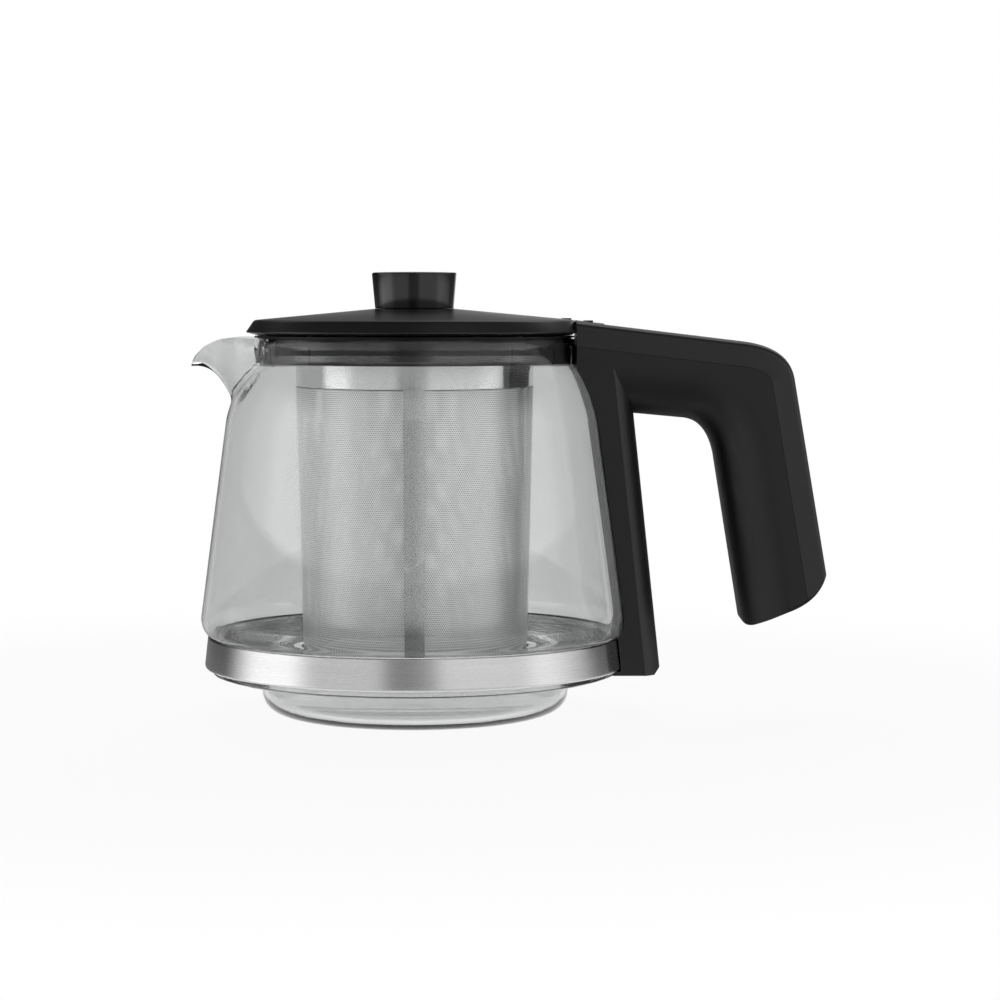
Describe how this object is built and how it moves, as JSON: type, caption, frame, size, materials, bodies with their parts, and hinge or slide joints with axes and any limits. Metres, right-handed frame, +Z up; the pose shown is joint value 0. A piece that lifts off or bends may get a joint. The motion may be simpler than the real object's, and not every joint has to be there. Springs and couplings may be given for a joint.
{
  "type": "glass teapot of an automatic tea maker",
  "caption": "Glass jug with beak spout, stepped foot, steel base band, hooked black handle, lift-out perforated filter in a collar, and a knobbed lid.",
  "frame": {"origin": "centre of the flat bottom of the glass foot, on the axis of the jug", "axes": "+Z up along the axis of the jug; +X toward the handle, -X toward the spout; +Y to the left of someone at the spout who looks at the handle"},
  "size_m": [0.2213, 0.1498, 0.1549],
  "materials": {
    "glass": "clear blown borosilicate glass, smooth, with a faint grey cast",
    "brushed_steel": "stainless sheet brushed round the band and the filter rim",
    "perforated_steel": "fine perforated stainless sheet, satin",
    "fastener_steel": "plain stainless screws and washer",
    "black_frame": "fine matte moulded black polymer",
    "black_cover": "satin moulded black polymer",
    "black_lid": "fine matte moulded black polymer",
    "gloss_black": "polished black polymer",
    "silicone": "soft dark grey silicone"
  },
  "bodies": {
    "jug": {"glass_jug": "glass", "base_band": "brushed_steel", "handle_frame": "black_frame", "handle_cover": "black_cover", "handle_spine": "gloss_black", "strap_pad": "silicone", "foot_screw": "fastener_steel", "cover_screw_upper": "fastener_steel", "cover_screw_lower": "fastener_steel"},
    "filter": {"filter_collar": "black_lid", "filter_retainer": "black_lid", "filter_top_band": "brushed_steel", "filter_mesh_wall": "perforated_steel", "filter_seam_strip": "brushed_steel", "filter_bottom_rim": "brushed_steel", "filter_bottom_mesh": "perforated_steel"},
    "lid": {"lid_cover": "black_lid", "lid_plug": "black_lid", "lid_seal": "silicone", "lid_knob": "gloss_black", "knob_washer": "fastener_steel", "knob_screw": "fastener_steel"}
  },
  "joints": [
    {"name": "filter_lift", "type": "slide", "parent": "jug", "child": "filter", "axis": [0, 0, 1], "range_m": [0, 0.13]},
    {"name": "lid_lift", "type": "slide", "parent": "filter", "child": "lid", "axis": [0, 0, 1], "range_m": [0, 0.04]}
  ]
}
